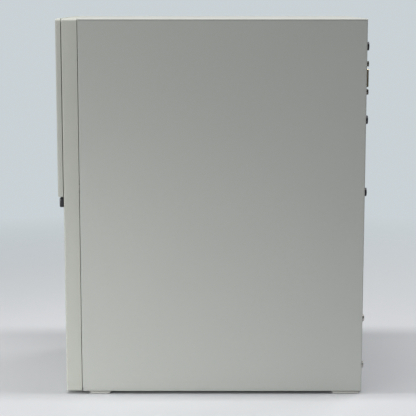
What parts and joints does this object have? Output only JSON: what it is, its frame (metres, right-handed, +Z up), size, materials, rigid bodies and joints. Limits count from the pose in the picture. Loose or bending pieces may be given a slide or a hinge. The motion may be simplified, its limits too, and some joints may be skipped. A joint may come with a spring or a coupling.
{
  "type": "desktop computer tower",
  "caption": "Compact light grey desktop computer tower with a raised front fascia, dark port strip, sliding access panel, disc tray and full interior.",
  "frame": {"origin": "middle of the bounding box's bottom, on the surface that the feet stand on", "axes": "+Z up, the front faces -Y, +X towards the fixed side panel behind the motherboard tray"},
  "size_m": [0.17, 0.277, 0.338],
  "materials": {
    "painted": "fine textured powder coat, satin",
    "bezel_plastic": "moulded plastic, fine spark texture",
    "dark_plastic": "semi gloss",
    "feet": "matte",
    "zinc_steel": "zinc plated sheet",
    "shield_steel": "tin plated, satin",
    "connector_plastic": "satin",
    "latch_plastic": "satin",
    "retainer_plastic": "satin",
    "circuit_board": "solder mask, satin",
    "aluminium": "satin",
    "black_plastic": "satin",
    "lens": "translucent, gloss",
    "bright_steel": "nickel plated",
    "black_steel": "black oxide",
    "cable_sheath": "matte"
  },
  "bodies": {
    "chassis": {"right_side_panel": "painted", "top_cover": "painted", "foot_front_left": "feet", "foot_front_right": "feet", "foot_rear_left": "feet", "foot_rear_right": "feet", "bottom_pan": "zinc_steel", "front_wall": "zinc_steel", "rear_wall": "zinc_steel", "board_tray": "zinc_steel", "optical_drive_cage": "zinc_steel", "hard_drive_cage": "zinc_steel", "optical_drive": "zinc_steel", "power_supply_case": "zinc_steel", "slot_cover_1": "zinc_steel", "slot_cover_2": "zinc_steel", "slot_cover_3": "zinc_steel", "io_shield": "shield_steel", "display_port": "shield_steel", "usb_ports": "shield_steel", "network_port": "shield_steel", "audio_ports": "connector_plastic", "vga_port": "connector_plastic", "power_inlet": "connector_plastic", "memory_slot_1": "connector_plastic", "memory_slot_2": "connector_plastic", "motherboard": "circuit_board", "memory_module_1": "circuit_board", "memory_module_2": "circuit_board", "front_io_board": "circuit_board", "cpu_heatsink": "aluminium", "hard_drive": "aluminium", "cpu_fan_frame": "black_plastic", "rear_fan_frame": "black_plastic", "vga_jackscrew_lower": "bright_steel", "vga_jackscrew_upper": "bright_steel", "case_screw_lower": "bright_steel", "case_screw_upper": "bright_steel", "side_panel_screw": "black_steel", "main_power_cable": "cable_sheath", "drive_cable": "cable_sheath", "front_panel_cable": "cable_sheath"},
    "bezel": {"front_bezel": "bezel_plastic", "upper_fascia": "bezel_plastic", "io_strip": "dark_plastic", "status_lens": "lens"},
    "power_button": {"power_button": "bezel_plastic"},
    "disc_tray": {"optical_tray": "black_plastic", "tray_face": "bezel_plastic"},
    "eject_button": {"eject_button": "bezel_plastic"},
    "disc_hub": {"disc_hub": "bright_steel"},
    "access_panel": {"access_panel": "painted"},
    "panel_screw_lower": {"panel_screw_lower": "black_steel"},
    "panel_screw_upper": {"panel_screw_upper": "black_steel"},
    "cpu_fan": {"cpu_fan_rotor": "black_plastic"},
    "rear_fan": {"rear_fan_rotor": "black_plastic"},
    "power_supply_fan": {"power_supply_fan_rotor": "black_plastic"},
    "slot_latch": {"slot_latch": "retainer_plastic"},
    "memory_latch_1": {"memory_latch_1": "latch_plastic"},
    "memory_latch_2": {"memory_latch_2": "latch_plastic"}
  },
  "joints": [
    {"name": "bezel_pull", "type": "slide", "parent": "chassis", "child": "bezel", "axis": [0, -1, 0], "range_m": [0, 0.04]},
    {"name": "power_press", "type": "slide", "parent": "bezel", "child": "power_button", "axis": [0, 1, 0], "range_m": [0, 0.0015], "stiffness_N_per_m": 400},
    {"name": "tray_slide", "type": "slide", "parent": "chassis", "child": "disc_tray", "axis": [0, -1, 0], "range_m": [0, 0.115]},
    {"name": "eject_press", "type": "slide", "parent": "disc_tray", "child": "eject_button", "axis": [0, 1, 0], "range_m": [0, 0.0008], "stiffness_N_per_m": 400},
    {"name": "hub_spin", "type": "hinge", "parent": "disc_tray", "child": "disc_hub", "pos_m": [0, -0.07, 0.303], "axis": [0, 0, 1], "continuous": true},
    {"name": "panel_slide", "type": "slide", "parent": "chassis", "child": "access_panel", "axis": [0, 1, 0], "range_m": [0, 0.26]},
    {"name": "panel_screw_lower_turn", "type": "hinge", "parent": "access_panel", "child": "panel_screw_lower", "pos_m": [-0.077, 0.1345, 0.1847], "axis": [0, 1, 0], "continuous": true},
    {"name": "panel_screw_upper_turn", "type": "hinge", "parent": "access_panel", "child": "panel_screw_upper", "pos_m": [-0.077, 0.1345, 0.314], "axis": [0, 1, 0], "continuous": true},
    {"name": "cpu_fan_spin", "type": "hinge", "parent": "chassis", "child": "cpu_fan", "pos_m": [0.0191, 0.062, 0.25], "axis": [-1, 0, 0], "continuous": true},
    {"name": "rear_fan_spin", "type": "hinge", "parent": "chassis", "child": "rear_fan", "pos_m": [-0.0245, 0.1208, 0.262], "axis": [0, 1, 0], "continuous": true},
    {"name": "power_supply_fan_spin", "type": "hinge", "parent": "chassis", "child": "power_supply_fan", "pos_m": [-0.034, 0.1213, 0.0422], "axis": [0, 1, 0], "continuous": true},
    {"name": "slot_latch_swing", "type": "hinge", "parent": "chassis", "child": "slot_latch", "pos_m": [-0.0545, 0.1276, 0.12638], "axis": [0, 0, -1], "range_deg": [0, 60]},
    {"name": "memory_latch_1_swing", "type": "hinge", "parent": "chassis", "child": "memory_latch_1", "pos_m": [0.0661, -0.012, 0.27935], "axis": [0, 1, 0], "range_deg": [0, 30]},
    {"name": "memory_latch_2_swing", "type": "hinge", "parent": "chassis", "child": "memory_latch_2", "pos_m": [0.0661, -0.022, 0.27935], "axis": [0, 1, 0], "range_deg": [0, 30]}
  ]
}
